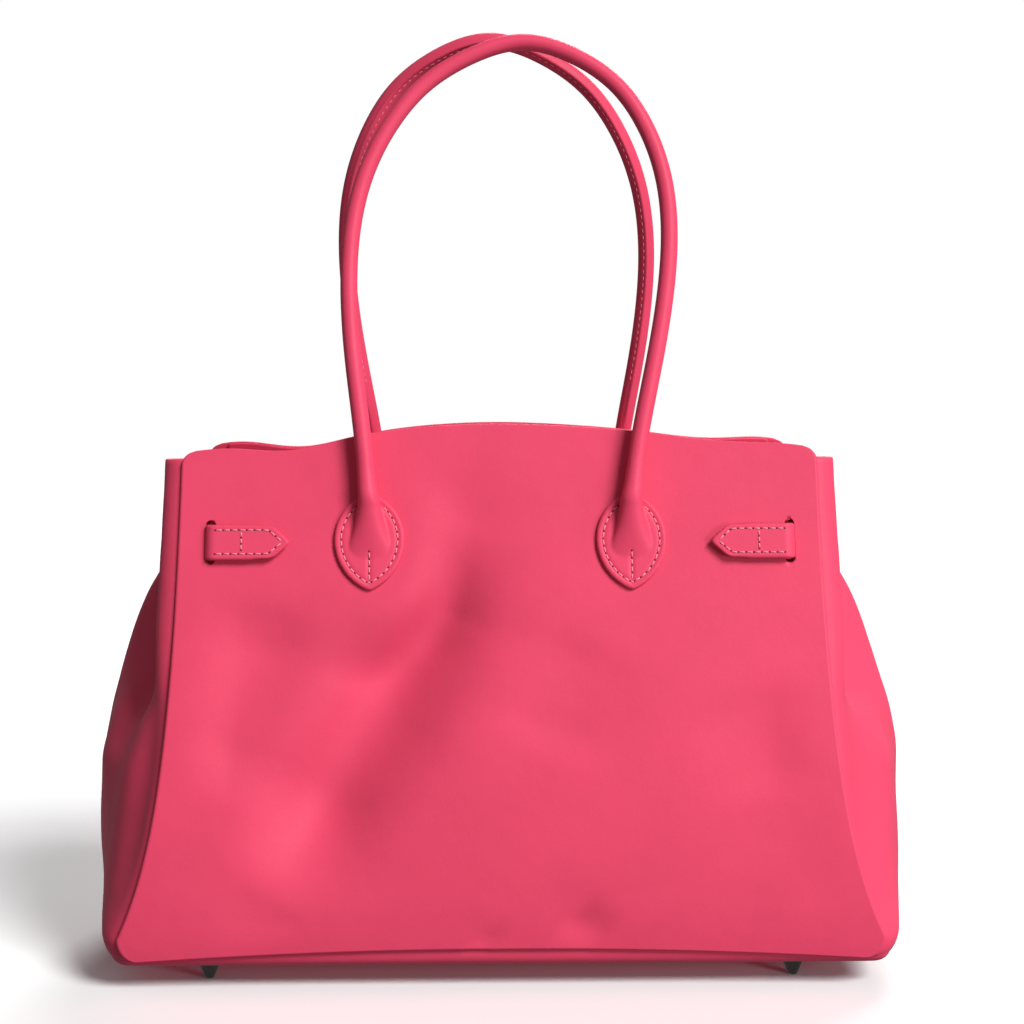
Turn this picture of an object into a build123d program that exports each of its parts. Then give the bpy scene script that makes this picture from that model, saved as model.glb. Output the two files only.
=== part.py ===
from build123d import *
import os
from math import asin, atan, cos, exp, hypot, sin, sqrt

# A soft leather tote bag with two long rolled handles, in millimetres.
# +Z is up, the bag stands on its four studs at Z = 0, X runs along its width
# and the front faces -Y. Front and back are alike, and so are left and right,
# except that the back handle is a little taller and leans the other way.

# ---------------------------------------------------------------- driving sizes
LEATHER = 2.0  # panel leather
GUSSET_LEATHER = 1.6
CLOTH = 1.0  # lining
GAP = 0.3  # air between layers that only touch

STUD_HEIGHT = 11.0  # underside of the base above the ground
PANEL_LOW = 14.0  # lower edge of the panels at the corners
BASE_ARCH = 6.0  # how far that edge rises in the middle
TOP_MIDDLE = 273.0  # upper edge of the panels between the handles
TOP_CORNER = 258.0

# Side view of a panel: a sloping flat, then a round belly.
MOUTH_HALF_DEPTH = 47.3
FACE_SLOPE = 0.24  # depth gained per height lost on the flat
KNEE = 150.0  # height where the flat ends
BELLY = 45.0  # height of the deepest point
UNDERCUT_RADIUS = 180.0  # below the belly
FACE_ANGLE = atan(FACE_SLOPE)
BELLY_RADIUS = (KNEE - BELLY) / sin(FACE_ANGLE)
KNEE_HALF_DEPTH = MOUTH_HALF_DEPTH + FACE_SLOPE * (TOP_MIDDLE - KNEE)
BELLY_HALF_DEPTH = KNEE_HALF_DEPTH + BELLY_RADIUS * (1 - cos(FACE_ANGLE))

# Front view of a panel: nearly straight sides that flare like a bell.
TOP_HALF_WIDTH = 157.3
BELL_FLARE = 28.5
BELL_HEIGHT = 25.0
BELL_DECAY = 60.0
LOW_CORNER = 9.5  # how far the lower corners are rounded off sideways

# Layers below the outer face of a panel.
FACING_DEPTH = LEATHER + GAP
LINING_DEPTH = LEATHER + 1.6  # leaves room for the handle reinforcements
POCKET_DEPTH = LINING_DEPTH + CLOTH + 1.0

# Base tray and what lies in it.
BASE_HALF_LENGTH = 188.5
BASE_HALF_DEPTH = 81.5
BASE_CORNER = 24.0
BASE_RIM = 22.0
BASE_EDGE_RADIUS = 4.5
BOARD_THICK = 2.5
BOARD_LOW = STUD_HEIGHT + LEATHER + GAP
WASHER_LOW = BOARD_LOW + BOARD_THICK
WASHER_THICK = 0.8
BASE_LINING_LOW = WASHER_LOW + 2.4

# Studs under the base.
STUD_X = 144.5
STUD_Y = 60.0
STUD_RADIUS = 6.0
STUD_TIP_RADIUS = 2.2
SHANK_RADIUS = 1.5

# Side straps: a pointed tab sewn on each panel, and a band round the gusset.
STRAP_X = 142.6
STRAP_Z = 215.5
STRAP_WIDTH = 17.4
STRAP_THICK = 2.2
TAB_LENGTH = 39.0
TAB_POINT = 9.5
SLOT_LENGTH = 21.5
SLOT_WIDTH = 3.6

# Handles: rolled leather over a cord, on leaf-shaped ends sewn to the panels.
PAD_X = 64.4
PAD_Z = 216.5
PAD_HALF_WIDTH = 17.3
PAD_UP = 23.5
PAD_DOWN = 25.5
PAD_THICK = 2.2
TUBE_RADIUS = 4.3
CORE_RADIUS = 3.0
STUB_RADIUS = 4.9
ROOT_Z = 240.0  # where the tube starts to bend when a handle drops
ROOT_Y = -63.0
HANDLE_SLOPE = 0.2435  # how far the handle leans in per height
HANDLE_WIDEST = 80.2
FRONT_TOP = 469.0
BACK_TOP = 472.0
FRONT_LEAN = 13.0  # sideways shift of the front handle's top
BACK_LEAN = -4.0
FRONT_LEAN_POWER = 1.4  # how late up the leg the lean sets in
BACK_LEAN_POWER = 2.5

SLAB = 130.0  # deeper than half of the bag
CLEAR = 400.0  # longer than the whole bag


# ------------------------------------------------------------------ bag outline
def half_depth(height):
    """Outer face of a panel, from the middle of the bag."""
    if height >= KNEE:
        return MOUTH_HALF_DEPTH + FACE_SLOPE * (TOP_MIDDLE - height)
    radius = BELLY_RADIUS if height >= BELLY else UNDERCUT_RADIUS
    return BELLY_HALF_DEPTH - radius + sqrt(radius**2 - (height - BELLY) ** 2)


def half_width(height):
    """Side edge of a panel, from the middle of the bag."""
    if height >= BELL_HEIGHT:
        return TOP_HALF_WIDTH + BELL_FLARE * exp(-(height - BELL_HEIGHT) / BELL_DECAY)
    drop = (BELL_HEIGHT - height) / (BELL_HEIGHT - PANEL_LOW)
    return TOP_HALF_WIDTH + BELL_FLARE - LOW_CORNER * (1 - sqrt(1 - drop**2))


def face_plane(height, lift):
    """The sloping front face, local Y up the slope, lifted outwards."""
    return Plane(
        origin=(
            0,
            -half_depth(height) - lift * cos(FACE_ANGLE),
            height + lift * sin(FACE_ANGLE),
        ),
        x_dir=(1, 0, 0),
        z_dir=(0, -cos(FACE_ANGLE), sin(FACE_ANGLE)),
    )


def wall_curve(depth, low, high):
    """The front face in side view, moved inwards by depth: flat, belly, undercut."""
    slant = cos(FACE_ANGLE)
    top_y = MOUTH_HALF_DEPTH + FACE_SLOPE * (TOP_MIDDLE - high) - depth / slant
    upper = BELLY_RADIUS - depth
    lower = UNDERCUT_RADIUS - depth
    upper_centre = BELLY_HALF_DEPTH - BELLY_RADIUS
    lower_centre = BELLY_HALF_DEPTH - UNDERCUT_RADIUS

    def on_upper(angle):
        return (-(upper_centre + upper * cos(angle)), BELLY + upper * sin(angle))

    def on_lower(height):
        return (-(lower_centre + sqrt(lower**2 - (height - BELLY) ** 2)), height)

    knee = on_upper(FACE_ANGLE)
    belly = on_upper(0)
    flat = Line((-top_y, high), knee)
    ThreePointArc(knee, on_upper(FACE_ANGLE / 2), belly)
    undercut = ThreePointArc(belly, on_lower((low + BELLY) / 2), on_lower(low))
    return flat @ 0, undercut @ 1


def wall_layer(outside, inside, low=STUD_HEIGHT, high=TOP_MIDDLE + 5):
    """A full-width sheet between two depths under the front face."""
    with BuildPart() as sheet:
        with BuildSketch(Plane.YZ):
            with BuildLine():
                outer_top, outer_low = wall_curve(outside, low, high)
                inner_top, inner_low = wall_curve(inside, low, high)
                Line(outer_top, inner_top)
                Line(outer_low, inner_low)
            make_face()
        extrude(amount=CLEAR / 2, both=True)
    return sheet.part


def panel_outline(inset=0.0):
    """Front view of a panel: arched top, bell-shaped sides, arched lower edge."""
    low = PANEL_LOW
    heights = (low, low + 1, low + 3, low + 6.5, BELL_HEIGHT, 50, 75, 110, 150, 200)
    heights += (TOP_CORNER - 6,)
    side = [(half_width(h) - inset, h) for h in heights]
    top = [
        (TOP_HALF_WIDTH - 7 - inset, TOP_CORNER + 1 - inset),
        (115, TOP_CORNER + 4.5 - inset),
        (60, TOP_MIDDLE - 3 - inset),
        (0, TOP_MIDDLE - inset),
    ]
    with BuildLine() as outline:
        edge = Spline(*side)
        corner = Spline(*top, tangents=((-1, 0.15), (-1, 0)))
        TangentArc(edge @ 1, corner @ 0, tangent=edge % 1)
        ThreePointArc(side[0], (0, low + BASE_ARCH), (-side[0][0], low))
        mirror(about=Plane.YZ)
    make_face(outline.line.edges())


def at_back(piece):
    """The same piece at the back of the bag."""
    with BuildPart() as copy:
        add(piece.part)
        mirror(about=Plane.XZ, mode=Mode.REPLACE)
    return copy


def at_right(piece):
    """The same piece at the right of the bag, for one made at the left."""
    with BuildPart() as copy:
        add(piece.part)
        mirror(about=Plane.YZ, mode=Mode.REPLACE)
    return copy


def save(piece, name):
    """Label a finished piece and write it to its own file."""
    piece.part.label = name
    export_step(piece.part, f"parts/{name}.step")


os.makedirs("parts", exist_ok=True)

# ----------------------------------------------------------------- front panel
outer_sheet = wall_layer(0, LEATHER)

with BuildPart() as front_panel:
    with BuildSketch(Plane.XZ):
        panel_outline()
        with Locations((-STRAP_X, STRAP_Z), (STRAP_X, STRAP_Z)):
            SlotOverall(SLOT_LENGTH, SLOT_WIDTH, rotation=90, mode=Mode.SUBTRACT)
    extrude(amount=SLAB)
    add(outer_sheet, mode=Mode.INTERSECT)

save(front_panel, "front_panel")
save(at_back(front_panel), "back_panel")

# ------------------------------------------------- lining, facing and the pocket
facing_sheet = wall_layer(FACING_DEPTH, FACING_DEPTH + 1.2)
lining_sheet = wall_layer(LINING_DEPTH, LINING_DEPTH + CLOTH)
pocket_sheet = wall_layer(POCKET_DEPTH, POCKET_DEPTH + CLOTH)
FACING_HALF_WIDTH = 147.0
FACING_LOW = 251.0
LINING_HIGH = FACING_LOW - 1.0
LINING_LOW = BASE_LINING_LOW + CLOTH + GAP
SEAM_INSET = 12.0  # the lining stops short of the gusset's sewn edge

with BuildPart() as front_facing:
    with BuildSketch(Plane.XZ):
        panel_outline(inset=3.0)
        with Locations((0, FACING_LOW)):
            Rectangle(
                2 * FACING_HALF_WIDTH,
                CLEAR,
                align=(Align.CENTER, Align.MIN),
                mode=Mode.INTERSECT,
            )
    extrude(amount=SLAB)
    add(facing_sheet, mode=Mode.INTERSECT)

with BuildPart() as front_lining:
    with BuildSketch(Plane.XZ):
        panel_outline(inset=SEAM_INSET)
        with Locations((0, LINING_LOW)):
            Rectangle(
                CLEAR,
                LINING_HIGH - LINING_LOW,
                align=(Align.CENTER, Align.MIN),
                mode=Mode.INTERSECT,
            )
        with Locations((-STRAP_X, STRAP_Z), (STRAP_X, STRAP_Z)):
            SlotOverall(SLOT_LENGTH, SLOT_WIDTH, rotation=90, mode=Mode.SUBTRACT)
    extrude(amount=SLAB)
    add(lining_sheet, mode=Mode.INTERSECT)

POCKET_WIDTH = 170.0
POCKET_HEIGHT = 110.0
POCKET_CENTRE = 175.0
with BuildPart() as front_pocket:
    with BuildSketch(Plane.XZ):
        with Locations((0, POCKET_CENTRE)):
            RectangleRounded(POCKET_WIDTH, POCKET_HEIGHT, 8)
    extrude(amount=SLAB)
    add(pocket_sheet, mode=Mode.INTERSECT)

save(front_facing, "front_facing")
save(at_back(front_facing), "back_facing")
save(front_lining, "front_lining")
save(at_back(front_lining), "back_lining")
save(at_back(front_pocket), "slip_pocket")


# --------------------------------------------------------------------- gussets
# Height of a section, half width of the belly at mid depth, how far the roll
# stands out beside the panel, how far the valley behind it cuts in (0 to 1)
# and how square the corner is (0 to 1).
GUSSET_SECTIONS = (
    (PANEL_LOW, 191.5, 2.0, 0.0, 1.0),
    (18.0, 194.8, 2.3, 0.0, 0.9),
    (BELL_HEIGHT, 199.5, 2.7, 0.0, 0.7),
    (30.0, 202.5, 3.0, 0.0, 0.5),
    (37.0, 205.3, 3.5, 0.0, 0.35),
    (45.0, 207.5, 4.0, 0.0, 0.2),
    (58.0, 208.5, 4.5, 0.0, 0.08),
    (75.0, 208.5, 5.0, 0.0, 0.0),
    (106.0, 207.5, 6.0, 0.0, 0.0),
    (130.0, 203.0, 7.0, 0.10, 0.0),
    (150.0, 197.0, 8.5, 0.45, 0.0),
    (170.0, 189.5, 9.0, 0.75, 0.0),
    (188.0, 182.0, 9.0, 0.95, 0.0),
    (202.0, 174.0, 9.0, 1.0, 0.0),
    (228.0, 169.0, 8.8, 1.0, 0.0),
    (TOP_CORNER, 164.0, 8.5, 1.0, 0.0),
)
TUCK = 9.0  # how far the gusset reaches behind the panel
VALLEY_X = 136.5  # how far in the full valley cuts
ROLL_DEPTH = 12.0


def blend_points(first, second, share):
    """Points between two lists of points."""
    return [
        (a[0] + share * (b[0] - a[0]), a[1] + share * (b[1] - a[1]))
        for a, b in zip(first, second)
    ]


def gusset_section(height):
    """The row of the table at any height, read between its neighbours."""
    for low, high in zip(GUSSET_SECTIONS, GUSSET_SECTIONS[1:]):
        if height <= high[0]:
            share = (height - low[0]) / (high[0] - low[0])
            return tuple(a + share * (b - a) for a, b in zip(low, high))
    return GUSSET_SECTIONS[-1]


def gusset_middle(height):
    """Middle of the left gusset's leather, from the front panel to the back one."""
    height, belly, roll, valley, square = gusset_section(height)
    edge = half_width(height)
    out = belly - edge
    behind = half_depth(height) - LEATHER - 2 * GAP - GUSSET_LEATHER / 2
    round_side = [
        (edge + roll, behind - 5),
        (edge + 0.42 * out, 0.80 * behind),
        (edge + 0.66 * out, 0.62 * behind),
        (edge + 0.88 * out, 0.36 * behind),
    ]
    square_side = [
        (edge + 0.50 * out, 0.955 * behind),
        (edge + 0.80 * out, 0.85 * behind),
        (edge + 0.94 * out, 0.62 * behind),
        (edge + 0.99 * out, 0.36 * behind),
    ]
    pinched_side = [
        (edge + roll, behind - 6),
        (edge - 2, behind - ROLL_DEPTH - 1.5),
        (VALLEY_X, behind - ROLL_DEPTH - 9),
        (0.45 * VALLEY_X + 0.55 * belly - 3, 0.28 * behind),
    ]
    side = blend_points(round_side, square_side, square)
    side = blend_points(side, pinched_side, valley)
    points = [(edge - TUCK, behind), (edge + 0.25 * roll, behind)] + side
    points.append((belly, 0.0))
    front = [(-x, -y) for x, y in points]
    return front + [(x, -y) for x, y in reversed(front[:-1])]


def offset_points(points, distance):
    """Points moved sideways from a smooth line through them."""
    moved = []
    for i, (x, y) in enumerate(points):
        before = points[max(i - 1, 0)]
        after = points[min(i + 1, len(points) - 1)]
        run, rise = after[0] - before[0], after[1] - before[1]
        length = hypot(run, rise)
        moved.append((x - distance * rise / length, y + distance * run / length))
    return moved


def gusset_shell(outside, inside, low, high):
    """A skin between two distances from the middle of the gusset's leather."""
    rows = [row[0] for row in GUSSET_SECTIONS if low < row[0] < high]
    with BuildPart() as shell:
        for height in [low] + rows + [high]:
            middle = gusset_middle(height)
            with BuildSketch(Plane.XY.offset(height)):
                with BuildLine():
                    outer = Polyline(*offset_points(middle, outside))
                    inner = Polyline(*offset_points(middle, inside))
                    Line(outer @ 0, inner @ 0)
                    Line(outer @ 1, inner @ 1)
                make_face()
        loft(ruled=True)
    return shell.part


def strap_path():
    """Plan view of the left strap, in the front slot, round the gusset and back."""
    front = [
        (-STRAP_X, -half_depth(STRAP_Z) - 6),
        (-STRAP_X, -40.0),
        (-167.5, -16.5),
        (-176.0, 0.0),
    ]
    return front + [(x, -y) for x, y in reversed(front[:-1])]


with BuildPart() as band_clearance:
    with BuildSketch(Plane.XY.offset(STRAP_Z - SLOT_LENGTH / 2)):
        with BuildLine():
            FilletPolyline(*strap_path(), radius=4.0)
        trace(line_width=STRAP_THICK + 1.2)
    extrude(amount=SLOT_LENGTH)

half_leather = GUSSET_LEATHER / 2
gusset_skin = gusset_shell(half_leather, -half_leather, PANEL_LOW, TOP_CORNER)
with BuildPart() as left_gusset:
    add(gusset_skin)
    add(band_clearance.part, mode=Mode.SUBTRACT)

side_cloth = gusset_shell(
    -half_leather - 0.8, -half_leather - 0.8 - CLOTH, LINING_LOW, LINING_HIGH
)
with BuildPart() as left_lining:
    add(side_cloth)
    add(band_clearance.part, mode=Mode.SUBTRACT)

save(left_gusset, "left_gusset")
save(at_right(left_gusset), "right_gusset")
save(left_lining, "left_lining")
save(at_right(left_lining), "right_lining")


# ------------------------------------------------------------------ side straps
band_height = STRAP_WIDTH * cos(FACE_ANGLE)
tab_reach = STRAP_X + STRAP_THICK / 2
tab_tip = STRAP_X - TAB_LENGTH
tab_face = face_plane(STRAP_Z, GAP / 3)
tab_top = tab_face.offset(STRAP_THICK)

with BuildPart() as half_strap:
    with BuildSketch(Plane.XY.offset(STRAP_Z - band_height / 2)):
        with BuildLine():
            FilletPolyline(*strap_path(), radius=4.0)
        trace(line_width=STRAP_THICK)
    extrude(amount=band_height)
    split(bisect_by=Plane.XZ, keep=Keep.TOP)
    split(bisect_by=tab_top, keep=Keep.BOTTOM)
    with BuildSketch(tab_face):
        with BuildLine():
            Polyline(
                (-tab_reach, -STRAP_WIDTH / 2),
                (-tab_tip - TAB_POINT, -STRAP_WIDTH / 2),
                (-tab_tip, 0),
                (-tab_tip - TAB_POINT, STRAP_WIDTH / 2),
                (-tab_reach, STRAP_WIDTH / 2),
                close=True,
            )
        make_face()
    extrude(amount=STRAP_THICK)

with BuildPart() as left_strap:
    add(half_strap.part)
    mirror(about=Plane.XZ)

save(left_strap, "left_strap")
save(at_right(left_strap), "right_strap")


# ------------------------------------------------------------------ handle ends
pad_face = face_plane(PAD_Z, GAP / 3)


def ogive_middle(side, reach):
    """Middle of an arc that leaves (side, 0) straight up and ends at (0, reach)."""
    radius = (side**2 + reach**2) / (2 * side)
    half_angle = asin(reach / radius) / 2
    return (side - radius + radius * cos(half_angle), radius * sin(half_angle))


def leaf_outline(centre, side, up, down):
    """A leaf: pointed at the top, with a rounded tip at the bottom."""
    upper_x, upper_y = ogive_middle(side, up)
    lower_x, lower_y = ogive_middle(side, down)
    with BuildLine() as leaf:
        ThreePointArc((centre + side, 0), (centre + upper_x, upper_y), (centre, up))
        ThreePointArc((centre, up), (centre - upper_x, upper_y), (centre - side, 0))
        ThreePointArc((centre - side, 0), (centre - lower_x, -lower_y), (centre, -down))
        ThreePointArc((centre, -down), (centre + lower_x, -lower_y), (centre + side, 0))
    make_face(leaf.line.edges())


STUB_SECTIONS = (  # height, half width, half depth, distance of the middle from Y = 0
    (210.0, 7.0, 1.5, half_depth(210.0) + 1.2),
    (221.0, 6.6, 3.0, 63.0),
    (232.0, 5.6, 4.4, 63.6),
    (ROOT_Z - GAP, STUB_RADIUS, STUB_RADIUS, -ROOT_Y),
)


def handle_end(centre):
    """A leaf with the flare that the rolled handle grows out of."""
    with BuildPart() as end:
        for height, wide, deep, out in STUB_SECTIONS:
            with BuildSketch(Plane.XY.offset(height)):
                with Locations((centre, -out)):
                    Ellipse(wide, deep)
        loft()
        with BuildSketch(pad_face) as leaf:
            leaf_outline(centre, PAD_HALF_WIDTH, PAD_UP, PAD_DOWN)
            fillet(leaf.vertices().group_by(Axis.Y)[0], radius=3)
        extrude(amount=PAD_THICK)
        with BuildSketch(pad_face):  # nothing may stand inside the panel's face
            Rectangle(CLEAR, CLEAR)
        extrude(amount=-20, mode=Mode.SUBTRACT)
    return end


# A patch behind each leaf, between the panel and the lining.
PATCH_DEPTH = LEATHER + 0.2
patch_sheet = wall_layer(PATCH_DEPTH, PATCH_DEPTH + 1.1)
with BuildPart() as front_patches:
    with BuildSketch(Plane.XZ):
        with Locations((-PAD_X, PAD_Z), (PAD_X, PAD_Z)):
            RectangleRounded(36, 50, 9)
    extrude(amount=SLAB)
    add(patch_sheet, mode=Mode.INTERSECT)
with BuildPart() as handle_patches:
    add(front_patches.part)
    mirror(about=Plane.XZ)

for side, centre in (("left", -PAD_X), ("right", PAD_X)):
    leaf_end = handle_end(centre)
    save(leaf_end, f"front_{side}_handle_end")
    save(at_back(leaf_end), f"back_{side}_handle_end")
save(handle_patches, "handle_patches")


# --------------------------------------------------------------------- handles
LEG_SHAPE = (  # height and half distance between the legs of the front handle
    (ROOT_Z - 5, 64.6),
    (255.0, 66.8),
    (275.0, 69.8),
    (305.0, 75.0),
    (335.0, 79.0),
    (366.0, HANDLE_WIDEST),
    (397.0, 76.1),
    (428.0, 63.3),
    (445.0, 50.5),
    (461.5, 27.0),
)


def handle_tube(top, lean, power, outer, inner):
    """A front handle's rolled leather, or its cord, cut level at both roots."""
    stretch = (top - ROOT_Z) / (FRONT_TOP - ROOT_Z)

    def point(side, height, half):
        share = (height - ROOT_Z) / (FRONT_TOP - ROOT_Z)
        rise = stretch * (height - ROOT_Z)
        sideways = lean * max(share, 0) ** power
        return (side * half + sideways, ROOT_Y + HANDLE_SLOPE * rise, ROOT_Z + rise)

    left = [point(-1, height, half) for height, half in LEG_SHAPE]
    right = [point(1, height, half) for height, half in reversed(LEG_SHAPE)]
    with BuildPart() as tube:
        with BuildLine() as path:
            Spline(*left, point(0, FRONT_TOP, 0), *right)
        with BuildSketch(Plane(origin=path.line @ 0, z_dir=path.line % 0)):
            Circle(outer)
            if inner:
                Circle(inner, mode=Mode.SUBTRACT)
        sweep()
        split(bisect_by=Plane.XY.offset(ROOT_Z), keep=Keep.TOP)
    return tube


front_route = (FRONT_TOP, FRONT_LEAN, FRONT_LEAN_POWER)
back_route = (BACK_TOP, BACK_LEAN, BACK_LEAN_POWER)
SLEEVE_INSIDE = CORE_RADIUS + 0.2
save(handle_tube(*front_route, TUBE_RADIUS, SLEEVE_INSIDE), "front_handle_sleeve")
save(handle_tube(*front_route, CORE_RADIUS, 0), "front_handle_core")
save(at_back(handle_tube(*back_route, TUBE_RADIUS, SLEEVE_INSIDE)), "back_handle_sleeve")
save(at_back(handle_tube(*back_route, CORE_RADIUS, 0)), "back_handle_core")


# ------------------------------------------------------------------------ base
def base_outline(inset):
    """Plan view of the base, with round corners."""
    RectangleRounded(
        2 * (BASE_HALF_LENGTH - inset),
        2 * (BASE_HALF_DEPTH - inset),
        BASE_CORNER - inset,
    )


def stud_spots(radius):
    """A circle at each stud."""
    with GridLocations(2 * STUD_X, 2 * STUD_Y, 2, 2):
        Circle(radius)


with BuildPart() as base_panel:
    with BuildSketch(Plane.XY.offset(STUD_HEIGHT)):
        base_outline(0)
    extrude(amount=BASE_RIM - STUD_HEIGHT)
    fillet(base_panel.faces().sort_by(Axis.Z)[0].edges(), radius=BASE_EDGE_RADIUS)
    with BuildSketch(Plane.XY.offset(BASE_RIM)):
        base_outline(LEATHER)
    extrude(amount=STUD_HEIGHT + LEATHER - BASE_RIM, mode=Mode.SUBTRACT)
    with BuildSketch(Plane.XY.offset(STUD_HEIGHT)):
        stud_spots(SHANK_RADIUS + 0.1)
    extrude(amount=LEATHER, mode=Mode.SUBTRACT)

with BuildPart() as base_board:
    with BuildSketch(Plane.XY.offset(BOARD_LOW)):
        base_outline(LEATHER + 2)
        with GridLocations(2 * STUD_X, 2 * STUD_Y, 2, 2):
            Circle(SHANK_RADIUS + 0.1, mode=Mode.SUBTRACT)
    extrude(amount=BOARD_THICK)

with BuildPart() as stud_washers:
    with BuildSketch(Plane.XY.offset(WASHER_LOW)):
        stud_spots(5.0)
        with GridLocations(2 * STUD_X, 2 * STUD_Y, 2, 2):
            Circle(SHANK_RADIUS + 0.05, mode=Mode.SUBTRACT)
    extrude(amount=WASHER_THICK)

with BuildPart() as base_lining:
    with BuildSketch(Plane.XY.offset(BASE_LINING_LOW)):
        base_outline(LEATHER + 2.5)
    extrude(amount=CLOTH)

save(base_panel, "base_panel")
save(base_board, "base_board")
save(stud_washers, "stud_washers")
save(base_lining, "base_lining")


def stud_at(x, y):
    """A cone-shaped stud whose shank goes through the base."""
    shank_top = WASHER_LOW + WASHER_THICK + 0.7
    with BuildPart() as stud:
        with BuildSketch(Plane(origin=(x, y, 0), x_dir=(1, 0, 0), z_dir=(0, -1, 0))):
            with BuildLine():
                Polyline(
                    (0, 0),
                    (STUD_TIP_RADIUS, 0),
                    (STUD_RADIUS - 0.3, 7.6),
                    (STUD_RADIUS + 0.5, 8.4),
                    (STUD_RADIUS + 0.5, STUD_HEIGHT),
                    (SHANK_RADIUS, STUD_HEIGHT),
                    (SHANK_RADIUS, shank_top),
                    (0, shank_top),
                    close=True,
                )
            make_face()
        revolve(axis=Axis((x, y, 0), (0, 0, 1)))
    return stud


for side, x in (("left", -STUD_X), ("right", STUD_X)):
    save(stud_at(x, -STUD_Y), f"front_{side}_stud")
    save(stud_at(x, STUD_Y), f"back_{side}_stud")
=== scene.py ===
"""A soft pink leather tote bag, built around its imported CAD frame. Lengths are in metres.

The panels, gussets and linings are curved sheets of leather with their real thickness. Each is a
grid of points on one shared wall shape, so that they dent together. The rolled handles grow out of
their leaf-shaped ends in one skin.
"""

import math

import bmesh
import bpy
import numpy as np
from mathutils import Euler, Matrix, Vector
from mathutils.bvhtree import BVHTree


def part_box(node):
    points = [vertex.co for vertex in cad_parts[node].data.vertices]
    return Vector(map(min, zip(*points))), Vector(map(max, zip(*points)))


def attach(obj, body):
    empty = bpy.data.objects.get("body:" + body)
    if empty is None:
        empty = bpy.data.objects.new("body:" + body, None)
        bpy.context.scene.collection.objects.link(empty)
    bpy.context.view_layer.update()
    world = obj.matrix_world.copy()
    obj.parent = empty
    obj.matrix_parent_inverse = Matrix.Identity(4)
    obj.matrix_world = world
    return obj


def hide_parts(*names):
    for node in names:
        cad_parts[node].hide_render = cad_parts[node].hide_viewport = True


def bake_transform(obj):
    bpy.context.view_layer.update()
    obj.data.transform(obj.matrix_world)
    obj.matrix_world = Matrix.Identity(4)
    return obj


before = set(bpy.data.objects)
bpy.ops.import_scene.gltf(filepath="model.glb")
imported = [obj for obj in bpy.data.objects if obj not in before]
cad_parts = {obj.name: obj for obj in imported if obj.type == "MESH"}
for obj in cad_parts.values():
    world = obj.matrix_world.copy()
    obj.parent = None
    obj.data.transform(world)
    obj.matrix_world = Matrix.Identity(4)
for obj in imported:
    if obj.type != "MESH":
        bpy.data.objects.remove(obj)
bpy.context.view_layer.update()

# ------------------------------------------------------------------ sizes from the frame
panel_low, panel_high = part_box("front_panel")
lining_low, lining_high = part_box("front_lining")
gusset_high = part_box("left_gusset")[1]
base_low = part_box("base_panel")[0]
TOP_MIDDLE = panel_high.z
PANEL_FOOT = panel_low.z
WIDEST = panel_high.x
BELLY_Y = -panel_low.y
ROOT_Z = 0.240

# The wall's side view, as in the CAD: a sloping flat, a round belly and an undercut.
MOUTH_Y = 0.0473
SLOPE = 0.24
KNEE_Z = 0.150
BELLY_Z = 0.045
UNDERCUT_R = 0.180
SLANT = math.cos(math.atan(SLOPE))
BELLY_R = (KNEE_Z - BELLY_Z) / math.sin(math.atan(SLOPE))

# The wall's front view: sides that flare like a bell above rounded corners.
TOP_X = 0.1573
FLARE = WIDEST - TOP_X
FLARE_Z = 0.025
FLARE_DECAY = 0.060
FOOT_ROUNDING = 0.0095
FOOT_ARCH = 0.006

LEATHER = 0.0020
GUSSET_LEATHER = 0.0016
CLOTH = 0.0010


def smooth(t):
    """0 to 1 with soft ends."""
    t = np.clip(t, 0.0, 1.0)
    return t * t * (3 - 2 * t)


def bump(d, width):
    """1 at d = 0, fading over width."""
    return np.exp(-((d / width) ** 2))


def spline(xs, ys, at):
    """A natural cubic spline through points with rising xs. ys may have columns."""
    xs, ys, at = np.asarray(xs, float), np.asarray(ys, float), np.asarray(at, float)
    n = len(xs)
    h = np.diff(xs)
    flat = ys.reshape(n, -1)
    a = np.eye(n)
    b = np.zeros_like(flat)
    for i in range(1, n - 1):
        a[i, i - 1], a[i, i], a[i, i + 1] = h[i - 1], 2 * (h[i - 1] + h[i]), h[i]
        b[i] = 6 * ((flat[i + 1] - flat[i]) / h[i] - (flat[i] - flat[i - 1]) / h[i - 1])
    m = np.linalg.solve(a, b)
    at = np.clip(at, xs[0], xs[-1])
    i = np.clip(np.searchsorted(xs, at) - 1, 0, n - 2)
    t = (at - xs[i])[:, None]
    s = h[i][:, None]
    value = (
        m[i] * (s - t) ** 3 / (6 * s)
        + m[i + 1] * t**3 / (6 * s)
        + (flat[i] / s - m[i] * s / 6) * (s - t)
        + (flat[i + 1] / s - m[i + 1] * s / 6) * t
    )
    return value.reshape((len(at),) + ys.shape[1:])


def along(points, count):
    """count points, evenly spaced on a smooth line through points."""
    points = np.asarray(points, float)
    steps = np.linalg.norm(np.diff(points, axis=0), axis=1)
    place = np.concatenate([[0], np.cumsum(steps)])
    fine = spline(place, points, np.linspace(0, place[-1], 40 * len(points)))
    steps = np.linalg.norm(np.diff(fine, axis=0), axis=1)
    place = np.concatenate([[0], np.cumsum(steps)])
    want = np.linspace(0, place[-1], count)
    return np.stack([np.interp(want, place, fine[:, k]) for k in range(fine.shape[1])], 1)


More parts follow.
